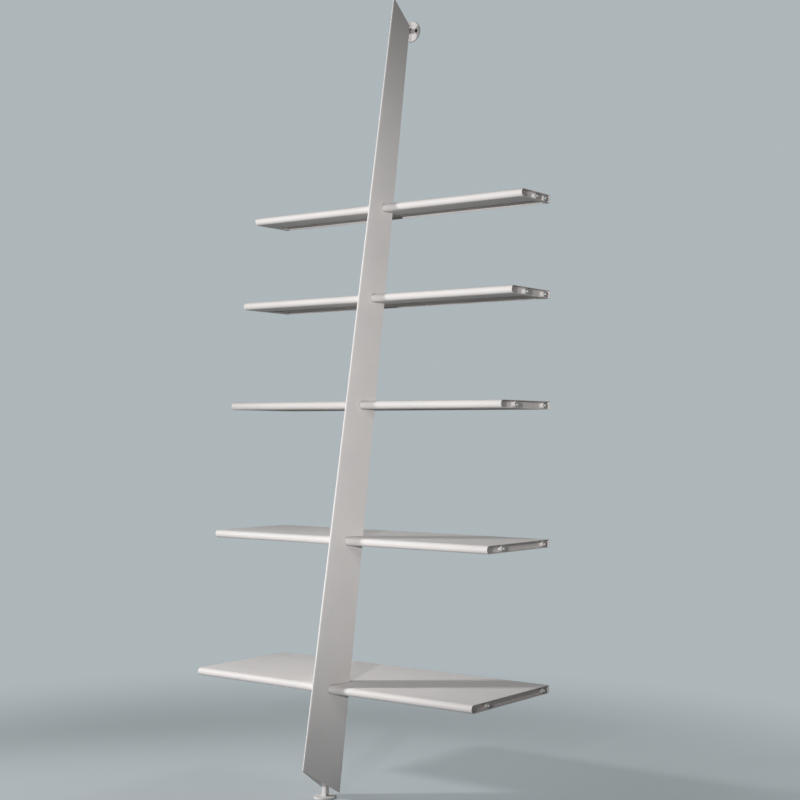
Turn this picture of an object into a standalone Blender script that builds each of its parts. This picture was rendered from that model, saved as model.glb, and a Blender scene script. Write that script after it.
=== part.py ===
"""Leaning steel bookshelf: a folded V-section upright that stands on one foot and is screwed on at its
top, with sheet-steel shelves threaded through slots in it.

Metres, +Z up. The origin is under the middle of the foot, on its lower face. The upright leans towards
+Y, where the disc at its top lies flat on the plane y = WALL_Y. The shelves run along X.
"""

import math

import bmesh
import bpy
from mathutils import Matrix, Vector

# Driving dimensions: the plane that the top disc lies on, and the gap left before it
WALL_Y = 0.431
SHELF_BACK_FROM_WALL = 0.005

# Driving dimensions: shelves, lowest first, as (height of the top face, depth)
SHELVES = ((0.3435, 0.432), (0.7925, 0.354), (1.2195, 0.282), (1.5635, 0.225), (1.8615, 0.169))
SHELF_LENGTH = 1.080
SHELF_THICKNESS = 0.025
SHELF_SHEET = 0.002
SHELF_BEND = 0.003
FLANGE_DEPTH = 0.096
END_PLATE_RECESS = 0.014
END_PLATE_SHEET = 0.0015
TUBE_RADIUS = 0.009
TUBE_WALL = 0.0015
TUBE_END_INSET = 0.0015
FRONT_TUBE_FROM_NOSE = 0.090
BACK_TUBE_FROM_BACK = 0.028
BUSH_LENGTH = 0.014
BUSH_BORE_RADIUS = 0.0045
BUSH_CHAMFER = 0.0008

# Driving dimensions: upright. Slopes are metres of lean for each metre of height
FRONT_SLOPE = 0.178
FRONT_FROM_WALL = 0.5569
BACK_SLOPE = 0.1472
BACK_FROM_WALL = 0.3992
SIDE_SPREAD = 0.17
UPRIGHT_SHEET = 0.0025
UPRIGHT_NOSE_RADIUS = 0.0035
UPRIGHT_TOP = 2.5505
TOP_CUT_SLOPE = 1.155
BOTTOM_FRONT = 0.0999
BOTTOM_CUT_SLOPE = 0.617
SLOT_GAP = 0.0015
SADDLE_SHEET = 0.003
SADDLE_FROM_NOSE = 0.004
SADDLE_TO_BACK = 0.006

# Driving dimensions: foot and wall fixing, which share one design of disc and square bar
DISC_RADIUS = 0.035
DISC_THICKNESS = 0.006
DISC_EDGE_RADIUS = 0.0022
DISC_CHAMFER = 0.0007
BAR_WIDTH = 0.016
BAR_EDGE_RADIUS = 0.0008
SPIGOT_RADIUS = 0.005
SPIGOT_LENGTH = 0.0032
FOOT_STEM_TOP = 0.1465
SOCKET_BOTTOM = 0.0645
SOCKET_TOP = 0.1615
SOCKET_WALL = 0.003
BRACKET_SHEET = 0.004
BRACKET_INSET = 0.006
BRACKET_HALF_DEPTH = 0.026
SET_SCREW_RADIUS = 0.003
SET_SCREW_LENGTH = 0.010
SET_SCREW_SOCKET_RADIUS = 0.0016
SET_SCREW_SOCKET_DEPTH = 0.004
WALL_STEM_HEIGHT = 2.4625
WALL_STEM_REACH = 0.051
WALL_SPIGOT_LENGTH = 0.016
WALL_BLOCK_HALF_HEIGHT = 0.020
WALL_BLOCK_FRONT = 0.032
SCREW_SPACING = 0.043
SCREW_HOLE_RADIUS = 0.0028
SCREW_HEAD_RADIUS = 0.0053

# Clearance between pieces that touch, and how finely round pieces are divided
GAP = 0.0003
WELD_DISTANCE = 1e-6
SMOOTH_DEGREES = 30
SQUARE_SIDES = 4
TUBE_SIDES = 20
SMALL_SIDES = 16
DISC_SIDES = 48
NOSE_STEPS = 12
BEND_STEPS = 4

SIDE_ANGLE = math.atan(SIDE_SPREAD)
SLANT = math.cos(SIDE_ANGLE)
APEX = UPRIGHT_NOSE_RADIUS / math.sin(SIDE_ANGLE) - UPRIGHT_NOSE_RADIUS
SHELF_BACK_Y = WALL_Y - SHELF_BACK_FROM_WALL
HALF_LENGTH = SHELF_LENGTH / 2
NOSE_RADIUS = SHELF_THICKNESS / 2
FULL_TURN = 2 * math.pi
HALF_BAR = BAR_WIDTH / 2
HALF_SOCKET_ROOM = HALF_BAR + GAP
HALF_SOCKET = HALF_SOCKET_ROOM + SOCKET_WALL
CORNER = math.sqrt(2)
SQUARE_ON = Matrix.Rotation(math.pi / 4, 4, "Z")
ALONG_X = Matrix.Rotation(math.pi / 2, 4, "Y")
INTO_WALL = Matrix.Rotation(-math.pi / 2, 4, "X")
OUT_OF_WALL = Matrix.Rotation(math.pi / 2, 4, "X")


def clear_scene():
    for old in list(bpy.data.objects):
        bpy.data.objects.remove(old)


def paint(name, colour, roughness, metallic=0.0):
    material = bpy.data.materials.new(name)
    material.use_nodes = True
    shader = material.node_tree.nodes["Principled BSDF"]
    shader.inputs["Base Color"].default_value = (*colour, 1.0)
    shader.inputs["Roughness"].default_value = roughness
    shader.inputs["Metallic"].default_value = metallic
    return material


def frame_at(name, location):
    """An empty that carries the pieces of one sub-assembly."""
    empty = bpy.data.objects.new(name, None)
    empty.location = location
    bpy.context.scene.collection.objects.link(empty)
    return empty


def add_object(name, bm, material, parent=None, place=None):
    """Writes a bmesh as a named object, shaded smooth where its faces meet at a shallow angle."""
    mesh = bpy.data.meshes.new(name)
    bm.to_mesh(mesh)
    bm.free()
    mesh.shade_smooth()
    mesh.set_sharp_from_angle(angle=math.radians(SMOOTH_DEGREES))
    obj = bpy.data.objects.new(name, mesh)
    bpy.context.scene.collection.objects.link(obj)
    if material:
        mesh.materials.append(material)
    obj.parent = parent
    if place is not None:
        obj.matrix_local = place
    return obj


def combine(obj, tool, operation):
    """Joins the tool to the object or cuts it away, and keeps the tool itself out of renders."""
    tool.hide_render = True
    tool.display_type = "WIRE"
    boolean = obj.modifiers.new(tool.name, "BOOLEAN")
    boolean.operation = operation
    boolean.object = tool


def cut(obj, cutter):
    combine(obj, cutter, "DIFFERENCE")


def fold(obj, thickness):
    """Gives a bent surface its sheet thickness, inwards from the outside face."""
    solidify = obj.modifiers.new("sheet", "SOLIDIFY")
    solidify.thickness = thickness
    solidify.offset = -1.0
    solidify.use_even_offset = True


def arc(centre, radius, start, end, steps):
    """Points of a circular arc in a plane, from one angle in degrees to another."""
    angles = [math.radians(start + (end - start) * i / steps) for i in range(steps + 1)]
    return [(centre[0] + radius * math.cos(a), centre[1] + radius * math.sin(a)) for a in angles]


def add_prism(bm, outline, low, high):
    """A closed outline of (y, z) points, drawn out along X from low to high."""
    face = bm.faces.new([bm.verts.new((low, y, z)) for y, z in outline])
    drawn = bmesh.ops.extrude_face_region(bm, geom=[face])
    moved = [v for v in drawn["geom"] if isinstance(v, bmesh.types.BMVert)]
    bmesh.ops.translate(bm, vec=(high - low, 0, 0), verts=moved)
    bmesh.ops.recalc_face_normals(bm, faces=bm.faces)


def strip(bm, path, vector):
    """A surface made by drawing an open path of points along a vector."""
    verts = [bm.verts.new(point) for point in path]
    edges = [bm.edges.new(pair) for pair in zip(verts, verts[1:])]
    drawn = bmesh.ops.extrude_edge_only(bm, edges=edges)
    moved = [v for v in drawn["geom"] if isinstance(v, bmesh.types.BMVert)]
    bmesh.ops.translate(bm, vec=vector, verts=moved)


def turn(bm, outline, sides, x=0.0):
    """A (radius, height) outline turned about a line along Z, where it starts and ends unless a ring."""
    verts = [bm.verts.new((x + radius, 0, height)) for radius, height in outline]
    loop = verts if outline[0][0] == 0 else verts + verts[:1]
    edges = [bm.edges.new(pair) for pair in zip(loop, loop[1:])]
    bmesh.ops.spin(
        bm,
        geom=verts + edges,
        cent=(x, 0, 0),
        axis=(0, 0, 1),
        angle=FULL_TURN,
        steps=sides,
        use_merge=True,
    )
    bmesh.ops.remove_doubles(bm, verts=bm.verts, dist=WELD_DISTANCE)
    bmesh.ops.recalc_face_normals(bm, faces=bm.faces)


def add_rod(bm, radius, length, sides, place):
    """A plain rod, round or with a few flat sides, centred where it is placed."""
    bmesh.ops.create_cone(
        bm, cap_ends=True, segments=sides, radius1=radius, radius2=radius, depth=length, matrix=place
    )


def turned(name, outline, sides, material, parent=None, place=None):
    bm = bmesh.new()
    turn(bm, outline, sides)
    return add_object(name, bm, material, parent, place)


def front_y(z):
    """Where the upright's front edge is at a height."""
    return WALL_Y - FRONT_FROM_WALL + FRONT_SLOPE * z


def back_y(z):
    """Where the upright's back edge is at a height."""
    return WALL_Y - BACK_FROM_WALL + BACK_SLOPE * z


def inner_half_width(behind):
    """Half the room between the upright's side walls, at a distance behind its front edge."""
    return SIDE_SPREAD * (behind + APEX) - UPRIGHT_SHEET / SLANT


def between_walls(name, outline, material):
    """A block, plate or bracket that fits between the upright's side walls, from its (y, z) outline."""
    bm = bmesh.new()
    sides = []
    for side in (1, -1):
        rooms = [inner_half_width(y - front_y(z)) - GAP / SLANT for y, z in outline]
        sides.append([bm.verts.new((side * room, *point)) for room, point in zip(rooms, outline)])
    right, left = sides
    bm.faces.new(right)
    bm.faces.new(left)
    for i in range(len(outline)):
        bm.faces.new((right[i - 1], right[i], left[i], left[i - 1]))
    bmesh.ops.recalc_face_normals(bm, faces=bm.faces)
    return add_object(name, bm, material)


def rectangle(y_low, y_high, z_low, z_high):
    return [(y_low, z_low), (y_high, z_low), (y_high, z_high), (y_low, z_high)]


def slot_outline(depth, top):
    """The (y, z) outline of a slot: the shelf's section with its rounded nose, a little larger."""
    radius = NOSE_RADIUS + SLOT_GAP
    centre = (SHELF_BACK_Y - depth + NOSE_RADIUS, top - NOSE_RADIUS)
    past_back = back_y(top) + SHELF_THICKNESS
    nose = arc(centre, radius, 90, 270, NOSE_STEPS)
    return nose + [(past_back, centre[1] - radius), (past_back, centre[1] + radius)]


def make_upright(material):
    """One sheet folded along its front edge, with its back edge, top and bottom cut on the slant."""
    centre = (0.0, front_y(0) + UPRIGHT_NOSE_RADIUS)
    side_degrees = math.degrees(SIDE_ANGLE)
    nose = arc(centre, UPRIGHT_NOSE_RADIUS, -side_degrees, side_degrees - 180, NOSE_STEPS)
    uncut_depth = FRONT_FROM_WALL
    half = SIDE_SPREAD * (uncut_depth + APEX)
    ends = [(side * half, front_y(0) + uncut_depth) for side in (1, -1)]
    bm = bmesh.new()
    path = [(x, y, 0.0) for x, y in [ends[0], *nose, ends[1]]]
    strip(bm, path, Vector((0.0, FRONT_SLOPE, 1.0)) * UPRIGHT_TOP)
    planes = (
        ((0, back_y(0), 0), (0, 1, -BACK_SLOPE)),
        ((0, front_y(UPRIGHT_TOP), UPRIGHT_TOP), (0, TOP_CUT_SLOPE, 1)),
        ((0, front_y(BOTTOM_FRONT), BOTTOM_FRONT), (0, -BOTTOM_CUT_SLOPE, -1)),
    )
    for point, normal in planes:
        everything = bm.verts[:] + bm.edges[:] + bm.faces[:]
        bmesh.ops.bisect_plane(bm, geom=everything, plane_co=point, plane_no=normal, clear_outer=True)
    bmesh.ops.recalc_face_normals(bm, faces=bm.faces)
    wide = max(bm.faces, key=lambda face: face.calc_center_median().x)
    if wide.normal.x < 0:
        bmesh.ops.reverse_faces(bm, faces=bm.faces)
    upright = add_object("upright", bm, material)
    fold(upright, UPRIGHT_SHEET)

    slots = bmesh.new()
    for top, depth in SHELVES:
        add_prism(slots, slot_outline(depth, top), -half, half)
    cut(upright, add_object("slot_cutter", slots, None))


def make_saddles(material):
    """Under each shelf, a plate welded between the side walls of the upright carries the shelf's flange."""
    for number, (top, depth) in enumerate(SHELVES, 1):
        high = top - SHELF_THICKNESS - GAP
        nose = SHELF_BACK_Y - depth
        front = nose + SADDLE_FROM_NOSE
        back = min(back_y(high) - SADDLE_TO_BACK, nose + FLANGE_DEPTH)
        outline = rectangle(front, back, high - SADDLE_SHEET, high)
        between_walls(f"shelf_{number}_saddle", outline, material)


def shell_path(depth):
    """The outside of a folded shelf: back wall, top, rounded nose and the flange under the nose."""
    bend = arc((-SHELF_BEND, -SHELF_BEND), SHELF_BEND, 0, 90, BEND_STEPS)
    nose = arc((NOSE_RADIUS - depth, -NOSE_RADIUS), NOSE_RADIUS, 90, 270, NOSE_STEPS)
    flange_end = (FLANGE_DEPTH - depth, -SHELF_THICKNESS)
    return [(0.0, -SHELF_THICKNESS), *bend, *nose, flange_end]


def end_plate_outline(depth):
    """The inside of a folded shelf, with a step where the flange ends."""
    inset = SHELF_SHEET + GAP
    flange_end = FLANGE_DEPTH - depth + GAP
    nose = arc((NOSE_RADIUS - depth, -NOSE_RADIUS), NOSE_RADIUS - inset, 90, 270, NOSE_STEPS)
    step = [(flange_end, inset - SHELF_THICKNESS), (flange_end, -SHELF_THICKNESS)]
    bend = arc((-SHELF_BEND, -SHELF_BEND), SHELF_BEND - inset, 0, 90, BEND_STEPS)
    return [*nose, *step, (-inset, -SHELF_THICKNESS), *bend]


def add_lip(bm, outward):
    """Bends the end plate's lower edge outwards behind the flange, to just inside the end of the shelf."""
    lip_top = END_PLATE_SHEET - SHELF_THICKNESS
    everything = bm.verts[:] + bm.edges[:] + bm.faces[:]
    bmesh.ops.bisect_plane(bm, geom=everything, plane_co=(0, 0, lip_top), plane_no=(0, 0, 1))
    outside = [face for face in bm.faces if face.normal.x * outward > 0.5]
    edge = [face for face in outside if face.calc_center_median().z < lip_top]
    drawn = bmesh.ops.extrude_face_region(bm, geom=edge)
    bmesh.ops.delete(bm, geom=edge, context="FACES_ONLY")
    moved = [v for v in drawn["geom"] if isinstance(v, bmesh.types.BMVert)]
    bmesh.ops.translate(bm, vec=(outward * (END_PLATE_RECESS - TUBE_END_INSET), 0, 0), verts=moved)
    bmesh.ops.recalc_face_normals(bm, faces=bm.faces)


def tube_outline(length):
    half = length / 2
    inner = TUBE_RADIUS - TUBE_WALL
    return [(inner, -half), (TUBE_RADIUS, -half), (TUBE_RADIUS, half), (inner, half)]


def bush_outline():
    """A ring for the end of a tube, with a chamfer at the mouth of its bore."""
    outer = TUBE_RADIUS - TUBE_WALL - GAP
    mouth = BUSH_BORE_RADIUS + BUSH_CHAMFER
    shoulder = BUSH_LENGTH - BUSH_CHAMFER
    return [
        (BUSH_BORE_RADIUS, 0),
        (outer, 0),
        (outer, BUSH_LENGTH),
        (mouth, BUSH_LENGTH),
        (BUSH_BORE_RADIUS, shoulder),
    ]


def make_shelf(number, top, depth, sheet, tube, bush):
    """A folded shell, two lipped end plates set back in its ends, and two tubes with a bush in each end."""
    label = f"shelf_{number}_"
    frame = frame_at(label + "frame", (0, SHELF_BACK_Y, top))

    bm = bmesh.new()
    strip(bm, [(-HALF_LENGTH, y, z) for y, z in shell_path(depth)], (SHELF_LENGTH, 0, 0))
    bmesh.ops.recalc_face_normals(bm, faces=bm.faces)
    roof = max(bm.faces, key=lambda face: face.calc_area())
    if roof.normal.z < 0:
        bmesh.ops.reverse_faces(bm, faces=bm.faces)
    fold(add_object(label + "shell", bm, sheet, frame), SHELF_SHEET)

    places = {"front": FRONT_TUBE_FROM_NOSE - depth, "back": -BACK_TUBE_FROM_BACK}
    tube_length = SHELF_LENGTH - 2 * TUBE_END_INSET
    bush_start = HALF_LENGTH - 2 * TUBE_END_INSET - BUSH_LENGTH
    holes = bmesh.new()
    for place, y in places.items():
        centre = Matrix.Translation((0, y, -NOSE_RADIUS))
        lying = centre @ ALONG_X
        turned(label + place + "_tube", tube_outline(tube_length), TUBE_SIDES, tube, frame, lying)
        for side, sign in (("left", -1), ("right", 1)):
            name = f"{label}{place}_bush_{side}"
            start = Matrix.Translation((sign * bush_start, y, -NOSE_RADIUS))
            facing = Matrix.Rotation(sign * math.pi / 2, 4, "Y")
            turned(name, bush_outline(), SMALL_SIDES, bush, frame, start @ facing)
        add_rod(holes, TUBE_RADIUS + GAP, SHELF_LENGTH, TUBE_SIDES, lying)
    hole_cutter = add_object(label + "tube_hole_cutter", holes, None, frame)

    for side, sign in (("left", -1), ("right", 1)):
        bm = bmesh.new()
        outer = sign * (HALF_LENGTH - END_PLATE_RECESS)
        add_prism(bm, end_plate_outline(depth), outer - sign * END_PLATE_SHEET, outer)
        add_lip(bm, sign)
        cut(add_object(f"{label}end_plate_{side}", bm, sheet, frame), hole_cutter)


def disc_outline():
    """A disc lying on the floor, with a rounded upper edge and a socket for a bar's spigot."""
    edge_centre = (DISC_RADIUS - DISC_EDGE_RADIUS, DISC_THICKNESS - DISC_EDGE_RADIUS)
    edge = arc(edge_centre, DISC_EDGE_RADIUS, 0, 90, BEND_STEPS)
    socket_radius = SPIGOT_RADIUS + GAP
    socket_floor = DISC_THICKNESS - SPIGOT_LENGTH - GAP
    foot = [(0, 0), (DISC_RADIUS - DISC_CHAMFER, 0), (DISC_RADIUS, DISC_CHAMFER)]
    return [*foot, *edge, (socket_radius, DISC_THICKNESS), (socket_radius, socket_floor), (0, socket_floor)]


def make_bar(name, length, end_spigot, material, place):
    """A square bar that stands on a disc, with a round spigot in it and, if asked for, one at the far end."""
    bm = bmesh.new()
    middle = Matrix.Translation((0, 0, (length + GAP) / 2))
    add_rod(bm, HALF_BAR * CORNER, length - GAP, SQUARE_SIDES, middle @ SQUARE_ON)
    long_edges = [edge for edge in bm.edges if edge.calc_length() > BAR_WIDTH * CORNER]
    bmesh.ops.bevel(
        bm,
        geom=long_edges,
        offset=BAR_EDGE_RADIUS,
        offset_type="OFFSET",
        affect="EDGES",
        segments=BEND_STEPS,
        profile=0.5,
        material=-1,
    )
    bar = add_object(name, bm, material, place=place)
    spigots = bmesh.new()
    add_rod(spigots, SPIGOT_RADIUS, 2 * SPIGOT_LENGTH, SMALL_SIDES, Matrix.Identity(4))
    if end_spigot:
        add_rod(spigots, SPIGOT_RADIUS, 2 * end_spigot, SMALL_SIDES, Matrix.Translation((0, 0, length)))
    combine(bar, add_object(name + "_spigots", spigots, None, place=place), "UNION")


def bracket_outline():
    """A folded bracket: a lower and an upper plate, joined by a web at their front edges."""
    front = -BRACKET_HALF_DEPTH
    back = BRACKET_HALF_DEPTH
    web = front + BRACKET_SHEET
    low = SOCKET_BOTTOM + BRACKET_INSET
    high = SOCKET_TOP - BRACKET_INSET
    lower_plate = [(front, low), (back, low), (back, low + BRACKET_SHEET), (web, low + BRACKET_SHEET)]
    upper_plate = [(web, high - BRACKET_SHEET), (back, high - BRACKET_SHEET), (back, high), (front, high)]
    return lower_plate + upper_plate


def make_foot(paint_foot, weld_steel, screw_steel):
    """A disc and square bar under the upright. The bar slides in a square socket that a bracket holds
    between the walls, and a set screw behind it clamps it at the height that levels the shelves."""
    turned("foot_disc", disc_outline(), DISC_SIDES, paint_foot)
    stand = Matrix.Translation((0, 0, DISC_THICKNESS))
    make_bar("foot_stem", FOOT_STEM_TOP - DISC_THICKNESS, 0, paint_foot, stand)

    corners = [(HALF_SOCKET_ROOM, SOCKET_BOTTOM), (HALF_SOCKET, SOCKET_BOTTOM)]
    corners += [(HALF_SOCKET, SOCKET_TOP), (HALF_SOCKET_ROOM, SOCKET_TOP)]
    square_ring = [(half * CORNER, z) for half, z in corners]
    socket = turned("foot_socket", square_ring, SQUARE_SIDES, weld_steel, place=SQUARE_ON)

    middle = (SOCKET_BOTTOM + SOCKET_TOP) / 2
    hole = bmesh.new()
    around_socket = (HALF_SOCKET + GAP) * CORNER
    add_rod(hole, around_socket, SOCKET_TOP, SQUARE_SIDES, Matrix.Translation((0, 0, middle)) @ SQUARE_ON)
    bracket = between_walls("foot_bracket", bracket_outline(), weld_steel)
    cut(bracket, add_object("socket_cutter", hole, None))

    screw = [
        (0, 0),
        (SET_SCREW_RADIUS, 0),
        (SET_SCREW_RADIUS, SET_SCREW_LENGTH),
        (SET_SCREW_SOCKET_RADIUS, SET_SCREW_LENGTH),
        (SET_SCREW_SOCKET_RADIUS, SET_SCREW_LENGTH - SET_SCREW_SOCKET_DEPTH),
        (0, SET_SCREW_LENGTH - SET_SCREW_SOCKET_DEPTH),
    ]
    behind_bar = Matrix.Translation((0, HALF_SOCKET_ROOM, middle)) @ INTO_WALL
    turned("foot_set_screw", screw, SMALL_SIDES, screw_steel, place=behind_bar)
    screw_hole = bmesh.new()
    add_rod(screw_hole, SET_SCREW_RADIUS + GAP, 2 * SET_SCREW_LENGTH, SMALL_SIDES, behind_bar)
    cut(socket, add_object("set_screw_cutter", screw_hole, None))


def make_wall_fixing(paint_foot, weld_steel):
    """A disc screwed to the wall, and a square bar from it to a block held between the side walls."""
    on_wall = Matrix.Translation((0, WALL_Y, WALL_STEM_HEIGHT)) @ OUT_OF_WALL
    disc = turned("wall_disc", disc_outline(), DISC_SIDES, paint_foot, place=on_wall)

    screw_holes = bmesh.new()
    mouth = 2 * DISC_THICKNESS
    sink = DISC_THICKNESS - (SCREW_HEAD_RADIUS - SCREW_HOLE_RADIUS)
    shape = [
        (0, -DISC_THICKNESS),
        (SCREW_HOLE_RADIUS, -DISC_THICKNESS),
        (SCREW_HOLE_RADIUS, sink),
        (SCREW_HEAD_RADIUS, DISC_THICKNESS),
        (SCREW_HEAD_RADIUS, mouth),
        (0, mouth),
    ]
    for x in (-SCREW_SPACING / 2, SCREW_SPACING / 2):
        turn(screw_holes, shape, SMALL_SIDES, x)
    cut(disc, add_object("screw_hole_cutter", screw_holes, None, place=on_wall))

    disc_face = Matrix.Translation((0, WALL_Y - DISC_THICKNESS, WALL_STEM_HEIGHT)) @ OUT_OF_WALL
    make_bar("wall_stem", WALL_STEM_REACH - DISC_THICKNESS, WALL_SPIGOT_LENGTH, paint_foot, disc_face)

    low = WALL_STEM_HEIGHT - WALL_BLOCK_HALF_HEIGHT
    high = WALL_STEM_HEIGHT + WALL_BLOCK_HALF_HEIGHT
    block_back = WALL_Y - WALL_STEM_REACH - GAP
    block_front = front_y(high) + WALL_BLOCK_FRONT
    block = between_walls("wall_block", rectangle(block_front, block_back, low, high), weld_steel)
    bore = bmesh.new()
    bore_mouth = Matrix.Translation((0, block_back, WALL_STEM_HEIGHT)) @ OUT_OF_WALL
    add_rod(bore, SPIGOT_RADIUS + GAP, 2 * (WALL_SPIGOT_LENGTH + GAP), SMALL_SIDES, bore_mouth)
    cut(block, add_object("block_bore_cutter", bore, None))


def main():
    clear_scene()
    shelf_paint = paint("shelf_paint", (0.72, 0.69, 0.675), 0.42)
    upright_paint = paint("upright_paint", (0.79, 0.76, 0.745), 0.42)
    foot_paint = paint("foot_paint", (0.74, 0.71, 0.695), 0.38)
    tube_paint = paint("tube_paint", (0.72, 0.69, 0.675), 0.40)
    bush_steel = paint("bush_steel", (0.10, 0.10, 0.10), 0.42, 0.9)
    weld_steel = paint("weld_steel", (0.62, 0.595, 0.58), 0.45)
    screw_steel = paint("screw_steel", (0.05, 0.05, 0.055), 0.40, 0.8)
    make_upright(upright_paint)
    make_saddles(weld_steel)
    for number, (top, depth) in enumerate(SHELVES, 1):
        make_shelf(number, top, depth, shelf_paint, tube_paint, bush_steel)
    make_foot(foot_paint, weld_steel, screw_steel)
    make_wall_fixing(foot_paint, weld_steel)


main()
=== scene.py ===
# %% [markdown]
# # A leaning steel bookshelf
#
# One folded steel blade stands on a round foot, leans back as it rises, and carries five folded
# shelves that pass through slots in it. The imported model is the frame: it gives the places and the
# outer sizes, so the pieces below are drawn in metres where the frame has them, and only made finer.

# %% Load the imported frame
import math

import bmesh
import bpy
from mathutils import Matrix, Vector


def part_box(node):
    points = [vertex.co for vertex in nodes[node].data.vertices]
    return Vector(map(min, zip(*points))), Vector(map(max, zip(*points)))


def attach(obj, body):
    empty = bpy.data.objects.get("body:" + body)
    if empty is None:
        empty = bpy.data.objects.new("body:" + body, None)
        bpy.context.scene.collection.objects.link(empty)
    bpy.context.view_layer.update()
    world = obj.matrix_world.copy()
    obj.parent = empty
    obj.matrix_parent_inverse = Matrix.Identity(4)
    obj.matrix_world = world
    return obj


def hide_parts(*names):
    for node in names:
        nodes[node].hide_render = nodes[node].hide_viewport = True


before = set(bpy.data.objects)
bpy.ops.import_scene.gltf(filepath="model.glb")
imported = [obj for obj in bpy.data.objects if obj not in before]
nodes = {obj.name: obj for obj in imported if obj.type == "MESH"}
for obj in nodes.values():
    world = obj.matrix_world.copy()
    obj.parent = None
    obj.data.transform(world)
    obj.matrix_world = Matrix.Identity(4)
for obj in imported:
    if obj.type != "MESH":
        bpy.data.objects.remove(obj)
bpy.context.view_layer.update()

# %% [markdown]
# ## The camera
#
# The photograph's view was solved from the shelves' own edges. A camera looks along its own -Z,
# so its matrix holds the picture's right, its up and the reverse of where it looks. A lens in
# millimetres on the default 36 mm sensor gives the field of view.

# %% Set the camera at the photograph's view
CAMERA_PLACE = Vector((2.8040, -3.4221, 1.1125))
CAMERA_RIGHT = Vector((0.80450, 0.59393, 0.00530))
CAMERA_UP = Vector((0.01028, -0.02285, 0.99969))
CAMERA_AHEAD = Vector((-0.59387, 0.80419, 0.02449))
LENS_MM = 64.425

scene = bpy.context.scene
camera = bpy.data.objects.new("photo_view", bpy.data.cameras.new("photo_view"))
camera.data.lens = LENS_MM
turned = Matrix((CAMERA_RIGHT, CAMERA_UP, -CAMERA_AHEAD)).transposed()
camera.matrix_world = Matrix.Translation(CAMERA_PLACE) @ turned.to_4x4()
scene.collection.objects.link(camera)
scene.camera = camera
print("camera", [round(value, 2) for value in camera.location], "lens", LENS_MM)

# %% [markdown]
# ## Studio light
#
# The shelf was lit by a lamp in front of it, by two that stand together far to the left, one aimed
# low and one high, which draw the blade's shadow over the shelf tops, and by a softer one that
# fills in from the right. A wide lamp behind lays a soft light on the shelf tops. Each is a spot
# whose cone fades all the way from its middle to its rim, so that the blade is brightest at half its
# height. The larger a lamp is, the softer are its shadow edges.

# %% Place the lamps
LEFT_STAND = (-4.02, -2.88, 2.56)
FADE_TO_MIDDLE = 1.0
LAMPS = {
    "key_lamp": {
        "place": (1.52, -3.44, 1.47),
        "aim": (0.0, 0.2, 1.32),
        "power": 425.0,
        "cone": 45.0,
        "radius": 0.10,
    },
    "left_lamp": {
        "place": LEFT_STAND,
        "aim": (0.4, 0.2, -0.30),
        "power": 1160.0,
        "cone": 28.0,
        "radius": 0.25,
    },
    "side_lamp": {
        "place": LEFT_STAND,
        "aim": (0.2, 0.2, 2.30),
        "power": 860.0,
        "cone": 38.0,
        "radius": 0.25,
    },
    "right_lamp": {
        "place": (3.40, -0.90, 1.75),
        "aim": (0.0, 0.2, 1.25),
        "power": 65.0,
        "cone": 44.0,
        "radius": 0.40,
    },
    "back_lamp": {
        "place": (0.0, 4.50, 4.20),
        "aim": (0.0, 0.2, 0.70),
        "power": 245.0,
        "cone": 40.0,
        "radius": 0.80,
    },
}

scene.view_settings.view_transform = "Standard"
for name, values in LAMPS.items():
    lamp = bpy.data.objects.new(name, bpy.data.lights.new(name, "SPOT"))
    lamp.data.energy = values["power"]
    lamp.data.spot_size = math.radians(values["cone"])
    lamp.data.spot_blend = FADE_TO_MIDDLE
    lamp.data.shadow_soft_size = values["radius"]
    lamp.location = values["place"]
    toward = Vector(values["aim"]) - lamp.location
    lamp.rotation_euler = toward.to_track_quat("-Z", "Y").to_euler()
    scene.collection.objects.link(lamp)
    print(name, values["power"], "W")

# %% [markdown]
# ## Steps that every node tree takes
#
# The backdrop, the floor and the finishes are node trees, and the same few steps come back in all of
# them: add a node with its values, join two values, change one by a constant, lay one colour over
# another. A Mix node keeps its colour sockets behind those for numbers and vectors, so they are
# reached by their place.

# %% Define the node steps
NOISE_LOW = 0.3
NOISE_HIGH = 0.7
UNDER_COLOUR = 6
OVER_COLOUR = 7
MIXED_COLOUR = 2


def add_node(tree, kind, values=None, **settings):
    """A new node with its settings, and values for its input sockets."""
    node = tree.nodes.new(kind)
    for key, value in settings.items():
        setattr(node, key, value)
    for socket, value in (values or {}).items():
        node.inputs[socket].default_value = value
    return node


def combined(tree, operation, first, second):
    """Two linked values joined by one operation."""
    node = add_node(tree, "ShaderNodeMath", operation=operation)
    tree.links.new(first, node.inputs[0])
    tree.links.new(second, node.inputs[1])
    return node.outputs[0]


def changed(tree, operation, source, amount):
    """A linked value changed by a constant."""
    node = add_node(tree, "ShaderNodeMath", {1: amount}, operation=operation)
    tree.links.new(source, node.inputs[0])
    return node.outputs[0]


def scaled(tree, source, low, high):
    """Spreads a noise, which stays near its middle, from low to high."""
    values = {"From Min": NOISE_LOW, "From Max": NOISE_HIGH, "To Min": low, "To Max": high}
    spread = add_node(tree, "ShaderNodeMapRange", values)
    tree.links.new(source, spread.inputs["Value"])
    return spread.outputs["Result"]


def object_noise(tree, per_metre, detail):
    """Noise that keeps its real size on every piece."""
    where = add_node(tree, "ShaderNodeTexCoord")
    noise = add_node(tree, "ShaderNodeTexNoise", {"Scale": per_metre, "Detail": detail})
    tree.links.new(where.outputs["Object"], noise.inputs["Vector"])
    return noise.outputs["Fac"]


def tinted(tree, colour, shade):
    """A colour made lighter or darker by a linked shade."""
    node = add_node(tree, "ShaderNodeMix", data_type="RGBA", blend_type="MULTIPLY")
    node.inputs["Factor"].default_value = 1.0
    node.inputs[UNDER_COLOUR].default_value = (*colour, 1.0)
    tree.links.new(shade, node.inputs[OVER_COLOUR])
    return node.outputs[MIXED_COLOUR]


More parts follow.
